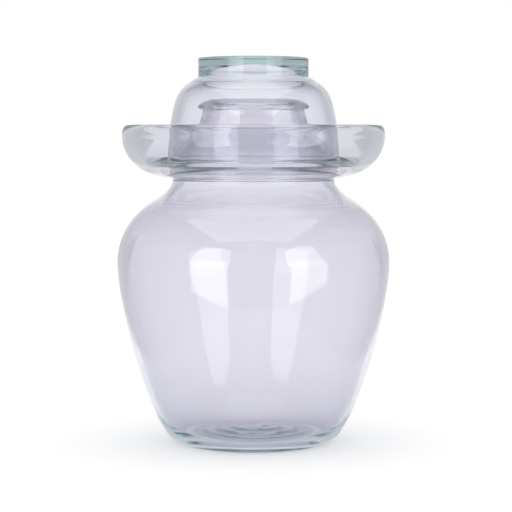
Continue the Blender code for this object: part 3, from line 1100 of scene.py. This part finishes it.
def glowing_sheet(name, points, radiance):
    """One glowing face that the camera itself doesn't see."""
    mesh = bpy.data.meshes.new(name)
    mesh.from_pydata(points, [], [tuple(range(len(points)))])
    sheet = bpy.data.objects.new(name, mesh)
    bpy.context.scene.collection.objects.link(sheet)
    material = bpy.data.materials.new(name)
    material.use_nodes = True
    shader = material.node_tree.nodes["Principled BSDF"]
    shader.inputs["Base Color"].default_value = (*BLACK, 1)
    shader.inputs["Emission Color"].default_value = (*WHITE, 1)
    shader.inputs["Emission Strength"].default_value = radiance
    mesh.materials.append(material)
    sheet.visible_camera = False
    return sheet


print("glowing faces are hidden from the camera")

# %% Upright softboxes
LAMP_DISTANCE = 1.5
LAMP_FOOT = -0.7
LAMP_LOW = 0.2
LAMP_HIGH = 0.4
LOW_RADIANCE = 2.6
MIDDLE_RADIANCE = 3.0
HIGH_RADIANCE = 2.3


def softbox(name, middle, corners, radiance):
    """A flat glowing sheet that faces the jar. Corners are azimuths right of the camera, and heights."""
    turn = radians(middle)
    points = []
    for azimuth, height in corners:
        aside = LAMP_DISTANCE * tan(radians(azimuth - middle))
        points.append((
            LAMP_DISTANCE * sin(turn) + aside * cos(turn),
            -LAMP_DISTANCE * cos(turn) + aside * sin(turn),
            height,
        ))
    return glowing_sheet(name, points, radiance)


def upright(first, last, bottom, top):
    """The corners of a plain zone between two azimuths and two heights."""
    return [(first, bottom), (last, bottom), (last, top), (first, top)]


print("softboxes", LAMP_DISTANCE, "away")

# %% Softbox on the left
LEFT_AZIMUTH = -37
LEFT_LOW_SIDES = (-53, -21)
LEFT_MIDDLE_SIDES = (-53, -20)
LEFT_TOP_CORNERS = [(-53, LAMP_HIGH), (-19, LAMP_HIGH), (-19, 0.9), (-26, 1.0), (-46, 1.0)]

left_low = upright(*LEFT_LOW_SIDES, LAMP_FOOT, LAMP_LOW)
left_middle = upright(*LEFT_MIDDLE_SIDES, LAMP_LOW, LAMP_HIGH)
softbox("left_low", LEFT_AZIMUTH, left_low, LOW_RADIANCE)
softbox("left_middle", LEFT_AZIMUTH, left_middle, MIDDLE_RADIANCE)
softbox("left_high", LEFT_AZIMUTH, LEFT_TOP_CORNERS, HIGH_RADIANCE)
print("left softbox around", LEFT_AZIMUTH, "degrees")

# %% Softbox on the right
RIGHT_AZIMUTH = 47
RIGHT_LOW_SIDES = (31, 63)
RIGHT_MIDDLE_CORNERS = [(28, LAMP_LOW), (62, LAMP_LOW), (60, LAMP_HIGH), (27, LAMP_HIGH)]
RIGHT_TOP_CORNERS = [(26, LAMP_HIGH), (58, LAMP_HIGH), (54, 1.0), (40, 1.05), (28, 0.9)]

right_low = upright(*RIGHT_LOW_SIDES, LAMP_FOOT, LAMP_LOW)
softbox("right_low", RIGHT_AZIMUTH, right_low, LOW_RADIANCE)
softbox("right_middle", RIGHT_AZIMUTH, RIGHT_MIDDLE_CORNERS, MIDDLE_RADIANCE)
softbox("right_high", RIGHT_AZIMUTH, RIGHT_TOP_CORNERS, HIGH_RADIANCE)
print("right softbox around", RIGHT_AZIMUTH, "degrees")

# %% [markdown]
# A third softbox hangs flat over the jar, mostly in front of its axis. It is dimmer than
# the others and gives the top of the knob, the rim of the moat and the shoulder the
# soft shine that the two upright ones don't reach.

# %% Softbox overhead
TOP_HEIGHT = 1.1
TOP_HALF_WIDTH = 0.7
TOP_FRONT = -1.05
TOP_BACK = 0.15
TOP_RADIANCE = 1.0

top_corners = [
    (-TOP_HALF_WIDTH, TOP_FRONT, TOP_HEIGHT),
    (TOP_HALF_WIDTH, TOP_FRONT, TOP_HEIGHT),
    (TOP_HALF_WIDTH, TOP_BACK, TOP_HEIGHT),
    (-TOP_HALF_WIDTH, TOP_BACK, TOP_HEIGHT),
]
glowing_sheet("top_box", top_corners, TOP_RADIANCE)
print("top box", TOP_HEIGHT, "up")

# %% [markdown]
# The camera stands level with the moat and looks slightly down, with a long lens, so the
# jar shows almost without perspective. A short lens close by would show more of the
# moat's inside, but it would also make the belly bulge.

# %% Camera
CAMERA_DISTANCE = 1.1149
CAMERA_HEIGHT = 0.1907
CAMERA_SIDE = 0.00157
CAMERA_PITCH = 3.79
LENS = 125.16
NEAR_CLIP = 0.01

camera = bpy.data.objects.new("camera", bpy.data.cameras.new("camera"))
camera.data.lens = LENS
camera.data.clip_start = NEAR_CLIP
camera.location = (CAMERA_SIDE, -CAMERA_DISTANCE, CAMERA_HEIGHT)
camera.rotation_euler = (radians(90 - CAMERA_PITCH), 0, 0)
bpy.context.scene.collection.objects.link(camera)
bpy.context.scene.camera = camera
print("lens", LENS, "from", CAMERA_DISTANCE)

# %% [markdown]
# A ray that enters the thick glass of the knob or the heel is thrown back and forth many
# times before it leaves. With the usual few bounces it would end inside and leave black
# spots, so the limits are raised. The Standard view keeps white as white.

# %% View and bounces
GLASS_BOUNCES = 32
CLEAR_BOUNCES = 24

scene = bpy.context.scene
scene.view_settings.view_transform = "Standard"
scene.cycles.max_bounces = GLASS_BOUNCES
scene.cycles.transmission_bounces = GLASS_BOUNCES
scene.cycles.glossy_bounces = GLASS_BOUNCES
scene.cycles.transparent_max_bounces = CLEAR_BOUNCES
print("bounces", GLASS_BOUNCES, CLEAR_BOUNCES)
